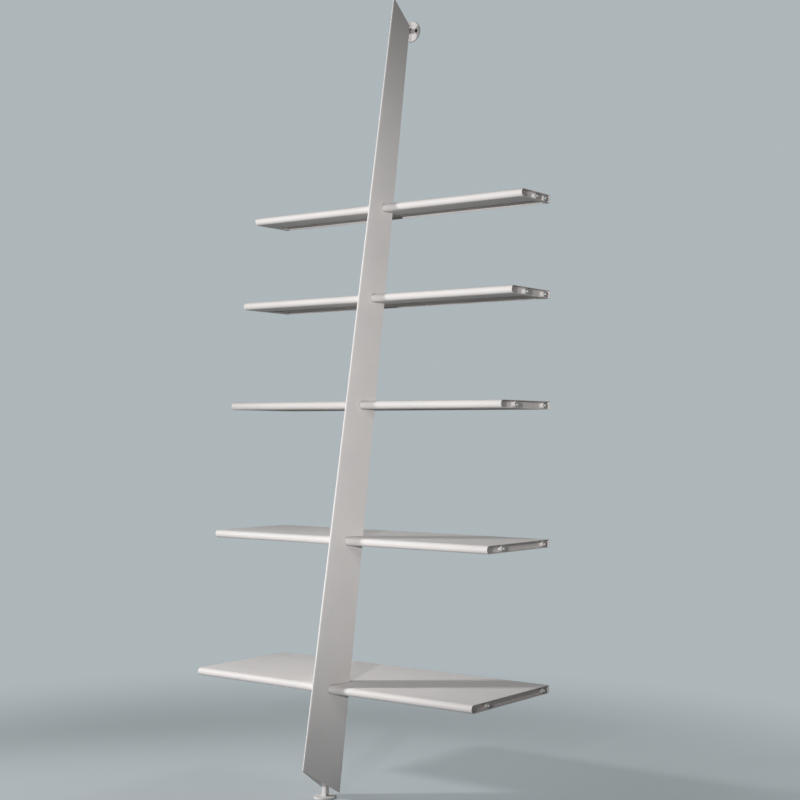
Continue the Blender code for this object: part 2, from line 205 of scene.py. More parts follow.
def laid_over(tree, under, mask, colour):
    """A colour that covers a linked one as far as the mask says."""
    node = add_node(tree, "ShaderNodeMix", {OVER_COLOUR: colour}, data_type="RGBA")
    tree.links.new(mask, node.inputs["Factor"])
    tree.links.new(under, node.inputs[UNDER_COLOUR])
    return node.outputs[MIXED_COLOUR]


def add_bump(tree, height, distance, shader):
    bump = add_node(tree, "ShaderNodeBump", {"Distance": distance})
    tree.links.new(height, bump.inputs["Height"])
    tree.links.new(bump.outputs["Normal"], shader.inputs["Normal"])


print("node steps ready")

# %% [markdown]
# ## A pale backdrop
#
# The world is what a ray meets when it meets nothing else. Rays from the camera, and those
# that a gloss reflects, see a pale grey. Diffuse rays see a dimmer grey, so the shelves keep
# dark undersides. Light Path tells the two kinds of ray apart.

# %% Make the world
BACKDROP = (0.42, 0.47, 0.49, 1.0)
AMBIENT = (0.06, 0.06, 0.06, 1.0)


def seen_directly(tree):
    """1 for rays from the camera or from a gloss or glass, 0 for diffuse ones."""
    path = add_node(tree, "ShaderNodeLightPath")
    direct = combined(tree, "MAXIMUM", path.outputs["Is Camera Ray"], path.outputs["Is Glossy Ray"])
    return combined(tree, "MAXIMUM", direct, path.outputs["Is Transmission Ray"])


world = bpy.data.worlds.new("studio")
world.use_nodes = True
scene.world = world
tree = world.node_tree
tree.nodes.clear()
ambient = add_node(tree, "ShaderNodeBackground", {"Color": AMBIENT})
backdrop = add_node(tree, "ShaderNodeBackground", {"Color": BACKDROP})
choose = add_node(tree, "ShaderNodeMixShader")
world_out = add_node(tree, "ShaderNodeOutputWorld")
tree.links.new(seen_directly(tree), choose.inputs["Fac"])
tree.links.new(ambient.outputs[0], choose.inputs[1])
tree.links.new(backdrop.outputs[0], choose.inputs[2])
tree.links.new(choose.outputs[0], world_out.inputs["Surface"])
print("world", world.name)

# %% [markdown]
# ## The floor
#
# The floor is one round plate. It takes the soft shadow of the foot near its middle, and fades
# to nothing further out, so that no horizon crosses the picture behind the shelves. For the camera
# it also glows a little in the backdrop's grey, which keeps the shadows on it pale.

# %% Make the floor
FLOOR_RADIUS = 5.0
FLOOR_SIDES = 64
FLOOR_SOLID_TO = 0.9
FLOOR_GONE_AT = 2.6
FLOOR_COLOUR = (0.52, 0.56, 0.58, 1.0)
FLOOR_ROUGHNESS = 0.9
FLOOR_SPECULAR = 0.1
FLOOR_GLOW = 0.55

bm = bmesh.new()
bmesh.ops.create_circle(bm, cap_ends=True, radius=FLOOR_RADIUS, segments=FLOOR_SIDES)
floor_mesh = bpy.data.meshes.new("floor")
bm.to_mesh(floor_mesh)
bm.free()
floor = bpy.data.objects.new("floor", floor_mesh)
scene.collection.objects.link(floor)

floor_paint = bpy.data.materials.new("floor_paint")
floor_paint.use_nodes = True
tree = floor_paint.node_tree
shader = tree.nodes["Principled BSDF"]
shader.inputs["Base Color"].default_value = FLOOR_COLOUR
shader.inputs["Roughness"].default_value = FLOOR_ROUGHNESS
shader.inputs["Specular IOR Level"].default_value = FLOOR_SPECULAR
where = add_node(tree, "ShaderNodeTexCoord")
distance = add_node(tree, "ShaderNodeVectorMath", operation="LENGTH")
reach = {"From Min": FLOOR_SOLID_TO, "From Max": FLOOR_GONE_AT}
fade = add_node(tree, "ShaderNodeMapRange", reach, interpolation_type="SMOOTHSTEP")
path = add_node(tree, "ShaderNodeLightPath")
glow_share = changed(tree, "MULTIPLY", path.outputs["Is Camera Ray"], FLOOR_GLOW)
glow = add_node(tree, "ShaderNodeEmission", {"Color": BACKDROP})
lifted = add_node(tree, "ShaderNodeMixShader")
clear = add_node(tree, "ShaderNodeBsdfTransparent")
choose = add_node(tree, "ShaderNodeMixShader")
tree.links.new(glow_share, lifted.inputs["Fac"])
tree.links.new(shader.outputs[0], lifted.inputs[1])
tree.links.new(glow.outputs[0], lifted.inputs[2])
tree.links.new(where.outputs["Object"], distance.inputs[0])
tree.links.new(distance.outputs["Value"], fade.inputs["Value"])
tree.links.new(fade.outputs["Result"], choose.inputs["Fac"])
tree.links.new(lifted.outputs[0], choose.inputs[1])
tree.links.new(clear.outputs[0], choose.inputs[2])
tree.links.new(choose.outputs[0], tree.nodes["Material Output"].inputs["Surface"])
floor_mesh.materials.append(floor_paint)
print("floor", FLOOR_RADIUS, "m")

# %% [markdown]
# ## Powder coat
#
# The steel is sprayed with powder that melts into a satin skin. Close up such a skin is never
# smooth: it has a fine orange peel about a millimetre across, flecks of pigment, and broad clouds
# where it lies thicker. All three are noise on Object coordinates, so they keep their real size on
# every piece. They are one node group, because every painted piece uses it.

# %% Build the powder coat group
PEEL_PER_METRE = 620.0
PEEL_DETAIL = 2.0
PEEL_ROUGHNESS = (-0.03, 0.03)
FLECKS_PER_METRE = 1900.0
FLECK_DETAIL = 0.0
FLECK_SHADE = (0.96, 1.03)
CLOUDS_PER_METRE = 7.0
CLOUD_DETAIL = 4.0
CLOUD_SHADE = (0.965, 1.02)
CLOUD_ROUGHNESS = (-0.05, 0.05)

coat_group = bpy.data.node_groups.new("powder_coat", "ShaderNodeTree")
for socket in ("Shade", "Roughness Change", "Height"):
    coat_group.interface.new_socket(socket, in_out="OUTPUT", socket_type="NodeSocketFloat")
group_out = add_node(coat_group, "NodeGroupOutput")
peel = object_noise(coat_group, PEEL_PER_METRE, PEEL_DETAIL)
flecks = object_noise(coat_group, FLECKS_PER_METRE, FLECK_DETAIL)
clouds = object_noise(coat_group, CLOUDS_PER_METRE, CLOUD_DETAIL)
cloud_shade = scaled(coat_group, clouds, *CLOUD_SHADE)
fleck_shade = scaled(coat_group, flecks, *FLECK_SHADE)
shade = combined(coat_group, "MULTIPLY", cloud_shade, fleck_shade)
cloud_rough = scaled(coat_group, clouds, *CLOUD_ROUGHNESS)
rough = combined(coat_group, "ADD", cloud_rough, scaled(coat_group, peel, *PEEL_ROUGHNESS))
coat_group.links.new(shade, group_out.inputs["Shade"])
coat_group.links.new(rough, group_out.inputs["Roughness Change"])
coat_group.links.new(peel, group_out.inputs["Height"])
print(coat_group.name, "group,", len(coat_group.nodes), "nodes")

# %% [markdown]
# ## Dust
#
# A shelf that is in use holds a little dust on whatever faces up. The group looks at how far a
# surface's normal points up, and breaks the film up with noise so that it looks settled and not
# sprayed. It puts out a mask, and each material decides what the dust does.

# %% Build the dust group
DUST_PER_METRE = 26.0
DUST_DETAIL = 6.0
DUST_PATCHES = (0.15, 1.0)
DUST_FROM_TILT = 0.6
DUST_FULL_TILT = 0.98

dust_group = bpy.data.node_groups.new("settled_dust", "ShaderNodeTree")
dust_group.interface.new_socket("Mask", in_out="OUTPUT", socket_type="NodeSocketFloat")
group_out = add_node(dust_group, "NodeGroupOutput")
facing = add_node(dust_group, "ShaderNodeNewGeometry")
split = add_node(dust_group, "ShaderNodeSeparateXYZ")
dust_group.links.new(facing.outputs["Normal"], split.inputs[0])
tilts = {"From Min": DUST_FROM_TILT, "From Max": DUST_FULL_TILT}
upward = add_node(dust_group, "ShaderNodeMapRange", tilts)
dust_group.links.new(split.outputs["Z"], upward.inputs["Value"])
settling = object_noise(dust_group, DUST_PER_METRE, DUST_DETAIL)
patches = scaled(dust_group, settling, *DUST_PATCHES)
mask = combined(dust_group, "MULTIPLY", upward.outputs["Result"], patches)
dust_group.links.new(mask, group_out.inputs["Mask"])
print(dust_group.name, "group")

# %% [markdown]
# ## Painted steel
#
# A painted material is a Principled BSDF fed by the two groups. The coat's shade multiplies the
# paint's colour, dust mixes a paler grey over it, the coat's roughness is added to the paint's
# own, and the peel becomes a bump a few hundredths of a millimetre high. The paint is nearly matt,
# and mirrors little even on the undersides, so its specular level is set below the usual half.

# %% Make the paints
DUST_COLOUR = (0.62, 0.60, 0.57, 1.0)
PEEL_HEIGHT = 0.00003
SPECULAR = 0.3


def painted(name, colour, roughness, dust):
    material = bpy.data.materials.new(name)
    material.use_nodes = True
    tree = material.node_tree
    shader = tree.nodes["Principled BSDF"]
    shader.inputs["Specular IOR Level"].default_value = SPECULAR
    coat = add_node(tree, "ShaderNodeGroup", node_tree=coat_group)
    settled = add_node(tree, "ShaderNodeGroup", node_tree=dust_group)
    film = changed(tree, "MULTIPLY", settled.outputs["Mask"], dust)
    dusty = laid_over(tree, tinted(tree, colour, coat.outputs["Shade"]), film, DUST_COLOUR)
    tree.links.new(dusty, shader.inputs["Base Color"])
    satin = changed(tree, "ADD", coat.outputs["Roughness Change"], roughness)
    tree.links.new(combined(tree, "MAXIMUM", satin, film), shader.inputs["Roughness"])
    add_bump(tree, coat.outputs["Height"], PEEL_HEIGHT, shader)
    return material


shelf_coat = painted("shelf_coat", colour=(0.72, 0.69, 0.675), roughness=0.60, dust=0.12)
# Painted light: the blade's paint is the shelves' paint made lighter, for the stronger light on the
# blade's side.
blade_coat_painted_light = painted("blade_coat_painted_light", colour=(0.79, 0.76, 0.745), roughness=0.60, dust=0.05)
# Painted light: the discs' and bars' paint is the shelves' paint made a little lighter, for the
# bright discs.
foot_coat_painted_light = painted("foot_coat_painted_light", colour=(0.74, 0.71, 0.695), roughness=0.50, dust=0.15)
# Painted shade: a darker copy of the powder coat for pieces that sit under the shelves and inside the
# V.
shaded_inner_coat = painted("shaded_inner_coat", colour=(0.62, 0.595, 0.58), roughness=0.60, dust=0.25)
print("paints", shelf_coat.name, blade_coat_painted_light.name, foot_coat_painted_light.name, shaded_inner_coat.name)

# %% [markdown]
# ## Bare metal
#
# The bushes in the tube ends are turned on a lathe, which leaves fine rings. The rings follow the
# distance from the turning axis, so each turned piece keeps that distance in an attribute of its
# mesh, and the material draws one-dimensional noise along it. The screws are blackened steel. So
# are the bushes, but their thread is cut last: within the bore's radius the steel is bright. Both are
# partly painted: the black face of a bush also stands for the shade on the tube's end, and the
# bright thread for the light inside the bore.

# %% Make the metals
RINGS_PER_METRE = 9000.0
RING_DETAIL = 3.0
RING_HEIGHT = 0.00001
STAINS_PER_METRE = 240.0
STAIN_DETAIL = 3.0
STAIN_ROUGHNESS = (-0.06, 0.08)
METAL_SHADE = (0.8, 1.1)
METAL_ROUGHNESS = 0.42
# Painted light: the thread's bright steel also stands for the lit inside of the bore.
THREAD_STEEL_AND_PAINTED_LIGHT = (0.80, 0.78, 0.75, 1.0)
BRIGHT_THREAD_AND_LIGHT_WITHIN = 0.0052


def turned_metal(name, colour, thread_and_light_within=0.0):
    material = bpy.data.materials.new(name)
    material.use_nodes = True
    tree = material.node_tree
    shader = tree.nodes["Principled BSDF"]
    shader.inputs["Metallic"].default_value = 1.0
    radius = add_node(tree, "ShaderNodeAttribute", attribute_name="turning_radius")
    ring_values = {"Scale": RINGS_PER_METRE, "Detail": RING_DETAIL}
    rings = add_node(tree, "ShaderNodeTexNoise", ring_values, noise_dimensions="1D")
    tree.links.new(radius.outputs["Fac"], rings.inputs["W"])
    stains = object_noise(tree, STAINS_PER_METRE, STAIN_DETAIL)
    ring_shade = scaled(tree, rings.outputs["Fac"], *METAL_SHADE)
    shade = combined(tree, "MULTIPLY", ring_shade, scaled(tree, stains, *METAL_SHADE))
    # Painted light: within this radius the colour turns to the bright thread steel.
    thread_and_light_mask = changed(tree, "LESS_THAN", radius.outputs["Fac"], thread_and_light_within)
    finish = laid_over(tree, tinted(tree, colour, shade), thread_and_light_mask, THREAD_STEEL_AND_PAINTED_LIGHT)
    tree.links.new(finish, shader.inputs["Base Color"])
    smoothest, roughest = (METAL_ROUGHNESS + change for change in STAIN_ROUGHNESS)
    tree.links.new(scaled(tree, stains, smoothest, roughest), shader.inputs["Roughness"])
    add_bump(tree, rings.outputs["Fac"], RING_HEIGHT, shader)
    return material


# Painted shade: the bushes' black face also darkens the tube's end, where shade falls.
bush_steel = turned_metal("bush_black_and_painted_shade", colour=(0.10, 0.10, 0.10), thread_and_light_within=BRIGHT_THREAD_AND_LIGHT_WITHIN)
black_steel = turned_metal("black_steel", colour=(0.05, 0.05, 0.055))
print("metals", bush_steel.name, black_steel.name)

# %% [markdown]
# ## Drawing with a pen
#
# Most pieces here are drawn as a path, as sheet metal is: a straight run, a bend, another run.
# Two small helpers do that with operators. One extrudes the last vertex to a new point, and the
# other spins it about a centre, which leaves a smooth arc. The rest write the drawing as a piece,
# give a sheet its thickness, round its cut edges, and put the finished piece on its body, with the
# nodes of the frame that it stands for.

# %% Define the pen and the finish
SMOOTH_DEGREES = 32.0
EDGE_RADIUS = 0.0004
EDGE_STEPS = 2
EDGE_DEGREES = 50.0
INWARD = -1.0
ALONG_X = Vector((1, 0, 0))
SIDES = {"left": -ALONG_X, "right": ALONG_X}


def line_to(bm, vert, point):
    drawn = bmesh.ops.extrude_vert_indiv(bm, verts=[vert])["verts"][0]
    drawn.co = point
    return drawn


def arc_about(bm, vert, centre, axis, degrees, steps):
    drawn = bmesh.ops.spin(
        bm, geom=[vert], cent=centre, axis=axis, angle=math.radians(degrees), steps=steps
    )
    return [item for item in drawn["geom_last"] if isinstance(item, bmesh.types.BMVert)][0]


def moved_by(bm, drawn, vector):
    verts = [item for item in drawn["geom"] if isinstance(item, bmesh.types.BMVert)]
    bmesh.ops.translate(bm, vec=vector, verts=verts)


def shade_folds(mesh):
    """Smooth where the surface turns gently, sharp at folds and cuts."""
    mesh.shade_smooth()
    mesh.set_sharp_from_angle(angle=math.radians(SMOOTH_DEGREES))


def make_object(name, bm, material=None):
    mesh = bpy.data.meshes.new(name)
    bm.to_mesh(mesh)
    bm.free()
    shade_folds(mesh)
    if material:
        mesh.materials.append(material)
    made = bpy.data.objects.new(name, mesh)
    scene.collection.objects.link(made)
    return made


def thicken(piece, thickness):
    """Gives a drawn face the thickness of its sheet, on the inside."""
    sheet = piece.modifiers.new("sheet", "SOLIDIFY")
    sheet.thickness = thickness
    sheet.offset = INWARD
    sheet.use_even_offset = True


def soften(piece):
    """Rounds the cut edges as deburring and paint do."""
    bevel = piece.modifiers.new("soft_edges", "BEVEL")
    bevel.width = EDGE_RADIUS
    bevel.segments = EDGE_STEPS
    bevel.limit_method = "ANGLE"
    bevel.angle_limit = math.radians(EDGE_DEGREES)
    bevel.harden_normals = True


def stands_for(piece, body, slot, *replaced):
    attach(piece, body)
    if replaced:
        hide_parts(*replaced)


print("pen ready, soft edges of", EDGE_RADIUS * 1000, "mm")

# %% [markdown]
# ## The folded shelves
#
# A shelf is one sheet: its back edge is turned down, its front rolls over a half-round nose and
# runs back underneath as a flange. The path of its outside face is drawn once, swept along the
# shelf by one extrusion, and Solidify gives it the sheet's thickness on the inside.

# %% Fold the shelves
SHELF_NUMBERS = range(1, 6)
SHEET = 0.002
BACK_BEND = 0.003
FLANGE = 0.096
BEND_STEPS = 8
NOSE_STEPS = 32


def shelf_path(bm, x, low, high):
    """Draws the outside of a folded shelf at one end, from the foot of its back to its flange."""
    nose = (high.z - low.z) / 2
    pen = bm.verts.new((x, high.y, low.z))
    pen = line_to(bm, pen, (x, high.y, high.z - BACK_BEND))
    pen = arc_about(bm, pen, (x, high.y - BACK_BEND, high.z - BACK_BEND), ALONG_X, 90, BEND_STEPS)
    pen = line_to(bm, pen, (x, low.y + nose, high.z))
    pen = arc_about(bm, pen, (x, low.y + nose, low.z + nose), ALONG_X, 180, NOSE_STEPS)
    line_to(bm, pen, (x, low.y + FLANGE, low.z))


for number in SHELF_NUMBERS:
    node = f"shelf_{number}_shell"
    low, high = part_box(node)
    bm = bmesh.new()
    shelf_path(bm, low.x, low, high)
    drawn = bmesh.ops.extrude_edge_only(bm, edges=bm.edges[:])
    moved_by(bm, drawn, ALONG_X * (high.x - low.x))
    bmesh.ops.recalc_face_normals(bm, faces=bm.faces)
    if max(bm.faces, key=lambda face: face.calc_area()).normal.z < 0:
        bmesh.ops.reverse_faces(bm, faces=bm.faces)
    shelf = make_object(f"shelf_{number}_folded_sheet", bm, shelf_coat)
    thicken(shelf, SHEET)
    soften(shelf)
    stands_for(shelf, "unit", "shelf_paint", node)
    print(shelf.name, "depth", round(high.y - low.y, 3))

# %% [markdown]
# ## Turned pieces
#
# Tubes, bushes and discs are round. A closed outline of radius and height is drawn beside the
# axis and spun once round it. A full spin needs use_merge, or the last ring of vertices lies loose
# on the first. The radius is kept as an attribute for the lathe rings.

# %% Define the lathe
WELD_DISTANCE = 0.00001


def lathe(bm, outline, base, axis, steps):
    """Turns a closed outline of (radius, height) points about an axis through a base point."""
    across = axis.orthogonal().normalized()
    points = [base + across * radius + axis * height for radius, height in outline]
    first = bm.verts.new(points[0])
    chain = [first]
    for point in points[1:]:
        chain.append(line_to(bm, chain[-1], point))
    if outline[0][0] > 0:
        bm.edges.new((chain[-1], first))
    edges = list({edge for vert in chain for edge in vert.link_edges})
    bmesh.ops.spin(
        bm,
        geom=chain + edges,
        cent=base,
        axis=axis,
        angle=math.tau,
        steps=steps,
        use_merge=True,
    )
    bmesh.ops.remove_doubles(bm, verts=bm.verts, dist=WELD_DISTANCE)
    bmesh.ops.recalc_face_normals(bm, faces=bm.faces)


def turned_piece(name, outline, base, axis, steps, material):
    bm = bmesh.new()
    lathe(bm, outline, base, axis, steps)
    piece = make_object(name, bm, material)
    radius = piece.data.attributes.new("turning_radius", "FLOAT", "POINT")
    for vert in piece.data.vertices:
        arm = vert.co - base
        radius.data[vert.index].value = (arm - axis * arm.dot(axis)).length
    return piece


print("lathe ready")

# %% [markdown]
# ## Tubes and bushes
#
# Two tubes run the length of each shelf and stiffen it. A steel bush closes each end: its thin
# collar covers the tube's edge, and its bore is threaded. The collar's black is partly painted
# shade, laid over the tube's end where shade falls. Seen end on, a thread is a stack of fine
# rings, so the bore's outline zigzags.

# %% Turn the tubes and bushes
TUBE_WALL = 0.0015
TUBE_LIP = 0.0003
BORE_RADIUS = 0.0045
THREAD_DEPTH = 0.0006
THREAD_PITCH = 0.00125
THREADS = 9
BUSH_EDGE = 0.0005
BUSH_GAP = 0.0003
COLLAR_SHEET = 0.0008
TUBE_STEPS = 48


def tube_outline(radius, length):
    inner = radius - TUBE_WALL
    return [
        (inner, TUBE_LIP),
        (inner + TUBE_LIP, 0),
        (radius - TUBE_LIP, 0),
        (radius, TUBE_LIP),
        (radius, length - TUBE_LIP),
        (radius - TUBE_LIP, length),
        (inner + TUBE_LIP, length),
        (inner, length - TUBE_LIP),
    ]


def bush_outline(radius, length):
    """From the hidden end to the collar along the outside, and back through the thread."""
    crest = BORE_RADIUS
    root = BORE_RADIUS + THREAD_DEPTH
    shank = radius - TUBE_WALL - BUSH_GAP
    seat = length + BUSH_GAP
    mouth = seat + COLLAR_SHEET
    outline = [(root, 0), (shank, 0), (shank, seat), (radius, seat)]
    outline += [(radius, mouth - BUSH_EDGE), (radius - BUSH_EDGE, mouth), (root + BUSH_EDGE, mouth)]
    depth = mouth - BUSH_EDGE
    for turn in range(THREADS):
        outline.append((crest, depth - (turn + 0.5) * THREAD_PITCH))
        outline.append((root, depth - (turn + 1) * THREAD_PITCH))
    return outline


for number in SHELF_NUMBERS:
    for place in ("front", "back"):
        node = f"shelf_{number}_{place}_tube"
        low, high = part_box(node)
        middle = (low + high) / 2
        radius = (high.z - low.z) / 2
        start = Vector((low.x, middle.y, middle.z))
        outline = tube_outline(radius, high.x - low.x)
        tube = turned_piece(node + "_drawn", outline, start, ALONG_X, TUBE_STEPS, shelf_coat)
        stands_for(tube, "unit", "tube_paint", node)
        for side, outward in SIDES.items():
            node = f"shelf_{number}_{place}_bush_{side}"
            low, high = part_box(node)
            inner_end = low.x if outward.x > 0 else high.x
            start = Vector((inner_end, middle.y, middle.z))
            outline = bush_outline(radius, high.x - low.x)
            bush = turned_piece(node + "_threaded", outline, start, outward, TUBE_STEPS, bush_steel)
            stands_for(bush, "unit", "bush_steel", node)
    print("shelf", number, "tubes and bushes turned")

# %% [markdown]
# ## End plates
#
# Each end of a shelf is closed by a plate set back inside the fold, with a hole for each tube.
# The plate's edge is drawn with the pen, the holes are circles, and triangle_fill fills what lies
# between them. One extrusion then gives the plate its thickness. Behind the flange its lower edge
# is bent outwards as a lip: a plane marks the edge off, and a second extrusion draws it out.

# %% Cut the end plates
PLATE_GAP = 0.0003
PLATE_SHEET = 0.0015
SQUARE_ON = 0.5


def plate_edge(bm, x, shell_low, shell_high):
    """Draws the inside of the fold, with the step where the flange ends."""
    inset = SHEET + PLATE_GAP
    nose = (shell_high.z - shell_low.z) / 2
    centre = (x, shell_low.y + nose, shell_low.z + nose)
    corner = (x, shell_high.y - BACK_BEND, shell_high.z - BACK_BEND)
    step = shell_low.y + FLANGE + PLATE_GAP
    start = bm.verts.new((x, shell_high.y - inset, shell_low.z))
    pen = line_to(bm, start, (x, shell_high.y - inset, corner[2]))
    pen = arc_about(bm, pen, corner, ALONG_X, 90, BEND_STEPS)
    pen = line_to(bm, pen, (x, centre[1], shell_high.z - inset))
    pen = arc_about(bm, pen, centre, ALONG_X, 180, NOSE_STEPS)
    pen = line_to(bm, pen, (x, step, shell_low.z + inset))
    pen = line_to(bm, pen, (x, step, shell_low.z))
    bm.edges.new((pen, start))


def bend_lip(bm, lip_top, outward, reach):
    """Draws the plate's lowest strip outwards, as wide as the sheet is thick."""
    everything = bm.verts[:] + bm.edges[:] + bm.faces[:]
    bmesh.ops.bisect_plane(bm, geom=everything, plane_co=(0, 0, lip_top), plane_no=(0, 0, 1))
    outside = [face for face in bm.faces if face.normal.x * outward.x > SQUARE_ON]
    strip = [face for face in outside if face.calc_center_median().z < lip_top]
    drawn = bmesh.ops.extrude_face_region(bm, geom=strip)
    bmesh.ops.delete(bm, geom=strip, context="FACES_ONLY")
    moved_by(bm, drawn, outward * reach)
    bmesh.ops.recalc_face_normals(bm, faces=bm.faces)


for number in SHELF_NUMBERS:
    shell_low, shell_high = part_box(f"shelf_{number}_shell")
    for side, outward in SIDES.items():
        node = f"shelf_{number}_end_plate_{side}"
        low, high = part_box(node)
        inside = low.x if outward.x > 0 else high.x
        bm = bmesh.new()
        plate_edge(bm, inside, shell_low, shell_high)
        for place in ("front", "back"):
            tube_low, tube_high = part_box(f"shelf_{number}_{place}_tube")
            middle = (tube_low + tube_high) / 2
            spot = Matrix.Translation((inside, middle.y, middle.z))
            spot @= Matrix.Rotation(math.pi / 2, 4, "Y")
            hole = (tube_high.z - tube_low.z) / 2 + PLATE_GAP
            bmesh.ops.create_circle(bm, cap_ends=False, radius=hole, segments=TUBE_STEPS, matrix=spot)
        bmesh.ops.triangle_fill(bm, use_beauty=True, use_dissolve=True, edges=bm.edges[:])
        drawn = bmesh.ops.extrude_face_region(bm, geom=bm.faces[:])
        moved_by(bm, drawn, outward * PLATE_SHEET)
        bmesh.ops.recalc_face_normals(bm, faces=bm.faces)
        bend_lip(bm, shell_low.z + PLATE_SHEET, outward, high.x - low.x - PLATE_SHEET)
        plate = make_object(node + "_pierced", bm, shelf_coat)
        stands_for(plate, "unit", "shelf_paint", node)
    print("shelf", number, "end plates cut")

# %% [markdown]
# ## The blade
#
# The upright is one sheet folded to a sharp V along its front, leaning back as it rises. Its
# section is drawn at floor level, drawn out along the lean, and three planes trim the back edge,
# the top and the bottom on the slant. Then the slots are cut for the shelves: each is the
# shelf's own section, a little larger, so that the sheet shows a fine dark line round the shelf.

# %% Fold the blade
WALL_Y = 0.431
FRONT_LEAN = 0.178
FRONT_FROM_WALL = 0.5569
BACK_LEAN = 0.1472
BACK_FROM_WALL = 0.3992
SIDE_SPREAD = 0.17
BLADE_SHEET = 0.0025
BLADE_NOSE = 0.0035
BLADE_TOP = 2.5505
TOP_CUT = 1.155
BLADE_BOTTOM = 0.0999
BOTTOM_CUT = 0.617
BLADE_NOSE_STEPS = 20
UPWARD = Vector((0, 0, 1))
FRONT_Y = WALL_Y - FRONT_FROM_WALL
BACK_Y = WALL_Y - BACK_FROM_WALL

side_angle = math.atan(SIDE_SPREAD)
apex = BLADE_NOSE / math.sin(side_angle) - BLADE_NOSE
half_width = SIDE_SPREAD * (FRONT_FROM_WALL + apex)
nose_centre = Vector((0, FRONT_Y + BLADE_NOSE, 0))
sideways = Vector((math.cos(side_angle), -math.sin(side_angle), 0))

bm = bmesh.new()
pen = bm.verts.new((half_width, WALL_Y, 0))
pen = line_to(bm, pen, nose_centre + sideways * BLADE_NOSE)
sweep = math.degrees(side_angle) * 2 - 180
pen = arc_about(bm, pen, nose_centre, UPWARD, sweep, BLADE_NOSE_STEPS)
line_to(bm, pen, (-half_width, WALL_Y, 0))
drawn = bmesh.ops.extrude_edge_only(bm, edges=bm.edges[:])
moved_by(bm, drawn, Vector((0, FRONT_LEAN, 1)) * BLADE_TOP)
trims = (
    ((0, BACK_Y, 0), (0, 1, -BACK_LEAN)),
    ((0, FRONT_Y + FRONT_LEAN * BLADE_TOP, BLADE_TOP), (0, TOP_CUT, 1)),
    ((0, FRONT_Y + FRONT_LEAN * BLADE_BOTTOM, BLADE_BOTTOM), (0, -BOTTOM_CUT, -1)),
)
for point, normal in trims:
    everything = bm.verts[:] + bm.edges[:] + bm.faces[:]
    bmesh.ops.bisect_plane(bm, geom=everything, plane_co=point, plane_no=normal, clear_outer=True)
bmesh.ops.recalc_face_normals(bm, faces=bm.faces)
if max(bm.faces, key=lambda face: face.calc_center_median().x).normal.x < 0:
    bmesh.ops.reverse_faces(bm, faces=bm.faces)
blade = make_object("folded_blade", bm, blade_coat_painted_light)
thicken(blade, BLADE_SHEET)
print(blade.name, "half width at the back", round(half_width, 3))

# %% [markdown]
# The slots are cut with a Boolean, as they are cut through both walls of the V at once. The cutter
# is removed after the cut is made real, so that only finished pieces stay in the scene.

# %% Cut the slots
SLOT_GAP = 0.0015
SLOT_STEPS = 32


def cut_away(piece, cutter):
    """Makes the piece's modifiers and one cut real, and removes the cutter."""
    cut = piece.modifiers.new("cut", "BOOLEAN")
    cut.operation = "DIFFERENCE"
    cut.object = cutter
    depsgraph = bpy.context.evaluated_depsgraph_get()
    mesh = bpy.data.meshes.new_from_object(piece.evaluated_get(depsgraph))
    piece.modifiers.clear()
    piece.data = mesh
    shade_folds(mesh)
    bpy.data.objects.remove(cutter)


bm = bmesh.new()
for number in SHELF_NUMBERS:
    low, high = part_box(f"shelf_{number}_shell")
    nose = (high.z - low.z) / 2
    past_back = BACK_Y + BACK_LEAN * high.z + nose
    start = bm.verts.new((-half_width, past_back, high.z + SLOT_GAP))
    pen = line_to(bm, start, (-half_width, low.y + nose, high.z + SLOT_GAP))
    centre = (-half_width, low.y + nose, low.z + nose)
    pen = arc_about(bm, pen, centre, ALONG_X, 180, SLOT_STEPS)
    pen = line_to(bm, pen, (-half_width, past_back, low.z - SLOT_GAP))
    bm.edges.new((pen, start))
bmesh.ops.edgeloop_fill(bm, edges=bm.edges[:])
drawn = bmesh.ops.extrude_face_region(bm, geom=bm.faces[:])
moved_by(bm, drawn, ALONG_X * 2 * half_width)
bmesh.ops.recalc_face_normals(bm, faces=bm.faces)
cut_away(blade, make_object("slot_cutter", bm))
soften(blade)
stands_for(blade, "unit", "upright_paint", "upright")
print(blade.name, len(blade.data.polygons), "faces after the slots")

# %% [markdown]
# ## Foot and wall fixing
#
# The blade stands on a disc with a square bar, and the same pair fixes its top. The discs are
# turned, with a rounded rim. The bar is a cube stretched to size with its long edges bevelled, as
# drawn square bar has.

# %% Turn the discs and cut the bars
DISC_RIM = 0.0022
DISC_FOOT = 0.0007
DISC_STEPS = 128
RIM_STEPS = 8
BAR_EDGE = 0.0008
BAR_STEPS = 4


def disc_outline(radius, thickness):
    rim = [math.pi / 2 * step / RIM_STEPS for step in range(RIM_STEPS + 1)]
    outline = [(0, 0), (radius - DISC_FOOT, 0), (radius, DISC_FOOT)]
    for angle in rim:
        across = radius - DISC_RIM + DISC_RIM * math.cos(angle)
        outline.append((across, thickness - DISC_RIM + DISC_RIM * math.sin(angle)))
    return outline + [(0, thickness)]


def square_bar(name, low, high, material):
    bm = bmesh.new()
    bmesh.ops.create_cube(bm, size=1.0)
    bmesh.ops.scale(bm, vec=high - low, verts=bm.verts)
    bmesh.ops.translate(bm, vec=(low + high) / 2, verts=bm.verts)
    length = max(edge.calc_length() for edge in bm.edges)
    long_edges = [edge for edge in bm.edges if edge.calc_length() > length / 2]
    bmesh.ops.bevel(
        bm,
        geom=long_edges,
        offset=BAR_EDGE,
        offset_type="OFFSET",
        affect="EDGES",
        segments=BAR_STEPS,
        profile=0.5,
        material=-1,
    )
    return make_object(name, bm, material)


